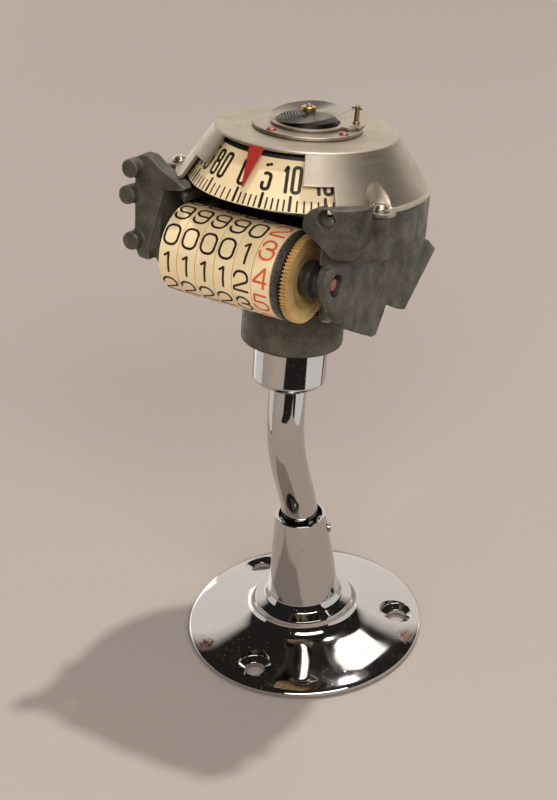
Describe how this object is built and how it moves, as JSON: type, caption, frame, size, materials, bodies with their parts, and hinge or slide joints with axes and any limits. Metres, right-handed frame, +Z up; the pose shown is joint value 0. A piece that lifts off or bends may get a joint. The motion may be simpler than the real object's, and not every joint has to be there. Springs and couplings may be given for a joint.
{
  "type": "drum-dial speedometer movement on a stand",
  "caption": "Magnetic speedometer movement with a turning conical drum dial above a distance counter, screwed to a chromed swan-neck stalk on a round flange.",
  "frame": {"origin": "centre of the stand's flat underside", "axes": "+Z up along the stand's socket; the counter and dial window face -Y; +X is on the right of a viewer who faces them"},
  "size_m": [0.0656, 0.0719, 0.1493],
  "materials": {
    "chrome_plate": "bright chrome plate with a few pits",
    "screw_steel": "nickelled screw heads, worn to brass on the slots",
    "bronze": "dull, tarnished brown",
    "zinc_casting": "zinc die casting, dark oxidised grey, mottled",
    "shaft_steel": "turned, lightly oiled",
    "brass": "yellow brass with dark oil in the roots",
    "cream_enamel": "aged cream enamel with printed black or red numerals",
    "black_enamel": "satin black",
    "red_enamel": "red enamel, slightly worn",
    "copper": "reddish, dull",
    "aluminium": "spun, satin",
    "nickel_plate": "warm brushed nickel, satin, softly stained",
    "blued_steel": "dark spring steel"
  },
  "bodies": {
    "stand": {"flange_base": "chrome_plate", "set_screw": "screw_steel"},
    "movement": {"stalk_tube": "chrome_plate", "stalk_ferrule": "bronze", "coupling_collar": "chrome_plate", "frame_casting": "zinc_casting", "drive_bush": "bronze", "field_cup": "shaft_steel", "counter_shaft": "copper", "shaft_clip": "brass", "pinion_shaft": "shaft_steel", "top_cover": "nickel_plate", "pointer": "red_enamel", "cover_screw_right": "screw_steel", "cover_screw_left": "screw_steel", "cover_screw_rear": "screw_steel", "bearing_disc": "nickel_plate", "disc_rivet_1": "copper", "disc_rivet_2": "copper", "disc_rivet_3": "copper"},
    "drive": {"drive_shaft": "shaft_steel", "worm": "shaft_steel", "magnet": "shaft_steel"},
    "cross_drive": {"cross_shaft": "shaft_steel", "worm_wheel": "bronze", "drive_pinion": "shaft_steel"},
    "tenths": {"wheel_tenths": "cream_enamel", "drum_end_ring": "black_enamel", "drive_gear": "brass", "gear_hub": "black_enamel"},
    "units": {"wheel_units": "cream_enamel"},
    "tens": {"wheel_tens": "cream_enamel"},
    "hundreds": {"wheel_hundreds": "cream_enamel"},
    "thousands": {"wheel_thousands": "cream_enamel"},
    "ten_thousands": {"wheel_ten_thousands": "cream_enamel"},
    "pinion_5": {"transfer_pinion_5": "brass"},
    "pinion_4": {"transfer_pinion_4": "brass"},
    "pinion_3": {"transfer_pinion_3": "brass"},
    "pinion_2": {"transfer_pinion_2": "brass"},
    "pinion_1": {"transfer_pinion_1": "brass"},
    "dial": {"dial_drum": "cream_enamel", "dial_spider": "aluminium", "speed_cup": "aluminium", "dial_spindle": "shaft_steel", "hairspring_collet": "brass"},
    "regulator": {"regulator_arm": "nickel_plate", "regulator_post": "brass", "taper_pin": "brass", "hairspring": "blued_steel"}
  },
  "joints": [
    {"name": "stalk_swivel", "type": "hinge", "parent": "stand", "child": "movement", "pos_m": [0, 0, 0], "axis": [0, 0, 1], "continuous": true},
    {"name": "drive_turn", "type": "hinge", "parent": "movement", "child": "drive", "pos_m": [0, -0.00119, 0.09022], "axis": [0, 0.1941, 0.981], "continuous": true},
    {"name": "cross_turn", "type": "hinge", "parent": "movement", "child": "cross_drive", "pos_m": [0, -0.00438, 0.10604], "axis": [1, 0, 0], "continuous": true},
    {"name": "tenths_turn", "type": "hinge", "parent": "movement", "child": "tenths", "pos_m": [0, -0.01473, 0.11788], "axis": [-1, 0, 0], "continuous": true},
    {"name": "units_turn", "type": "hinge", "parent": "movement", "child": "units", "pos_m": [0, -0.01473, 0.11788], "axis": [-1, 0, 0], "continuous": true},
    {"name": "tens_turn", "type": "hinge", "parent": "movement", "child": "tens", "pos_m": [0, -0.01473, 0.11788], "axis": [-1, 0, 0], "continuous": true},
    {"name": "hundreds_turn", "type": "hinge", "parent": "movement", "child": "hundreds", "pos_m": [0, -0.01473, 0.11788], "axis": [-1, 0, 0], "continuous": true},
    {"name": "thousands_turn", "type": "hinge", "parent": "movement", "child": "thousands", "pos_m": [0, -0.01473, 0.11788], "axis": [-1, 0, 0], "continuous": true},
    {"name": "ten_thousands_turn", "type": "hinge", "parent": "movement", "child": "ten_thousands", "pos_m": [0, -0.01473, 0.11788], "axis": [-1, 0, 0], "continuous": true},
    {"name": "pinion_5_turn", "type": "hinge", "parent": "movement", "child": "pinion_5", "pos_m": [0, -0.00159, 0.12374], "axis": [1, 0, 0], "continuous": true},
    {"name": "pinion_4_turn", "type": "hinge", "parent": "movement", "child": "pinion_4", "pos_m": [0, -0.00159, 0.12374], "axis": [1, 0, 0], "continuous": true},
    {"name": "pinion_3_turn", "type": "hinge", "parent": "movement", "child": "pinion_3", "pos_m": [0, -0.00159, 0.12374], "axis": [1, 0, 0], "continuous": true},
    {"name": "pinion_2_turn", "type": "hinge", "parent": "movement", "child": "pinion_2", "pos_m": [0, -0.00159, 0.12374], "axis": [1, 0, 0], "continuous": true},
    {"name": "pinion_1_turn", "type": "hinge", "parent": "movement", "child": "pinion_1", "pos_m": [0, -0.00159, 0.12374], "axis": [1, 0, 0], "continuous": true},
    {"name": "dial_turn", "type": "hinge", "parent": "movement", "child": "dial", "pos_m": [0, -0.00119, 0.09022], "axis": [0, -0.1941, -0.981], "range_deg": [-5, 337], "stiffness_Nm_per_rad": 0.00002},
    {"name": "regulator_turn", "type": "hinge", "parent": "movement", "child": "regulator", "pos_m": [0, -0.00119, 0.09022], "axis": [0, 0.1941, 0.981], "range_deg": [-8, 8]}
  ],
  "couplings": [
    {"joint": "cross_turn", "follows": "drive_turn", "ratio": 0.05},
    {"joint": "tenths_turn", "follows": "drive_turn", "ratio": 0.022222},
    {"joint": "units_turn", "follows": "drive_turn", "ratio": 0.0022222},
    {"joint": "tens_turn", "follows": "drive_turn", "ratio": 0.00022222},
    {"joint": "hundreds_turn", "follows": "drive_turn", "ratio": 0.000022222},
    {"joint": "thousands_turn", "follows": "drive_turn", "ratio": 0.0000022222},
    {"joint": "ten_thousands_turn", "follows": "drive_turn", "ratio": 0.00000022222},
    {"joint": "pinion_5_turn", "follows": "drive_turn", "ratio": 0.0055556},
    {"joint": "pinion_4_turn", "follows": "drive_turn", "ratio": 0.00055556},
    {"joint": "pinion_3_turn", "follows": "drive_turn", "ratio": 0.000055556},
    {"joint": "pinion_2_turn", "follows": "drive_turn", "ratio": 0.0000055556},
    {"joint": "pinion_1_turn", "follows": "drive_turn", "ratio": 0.00000055556}
  ]
}
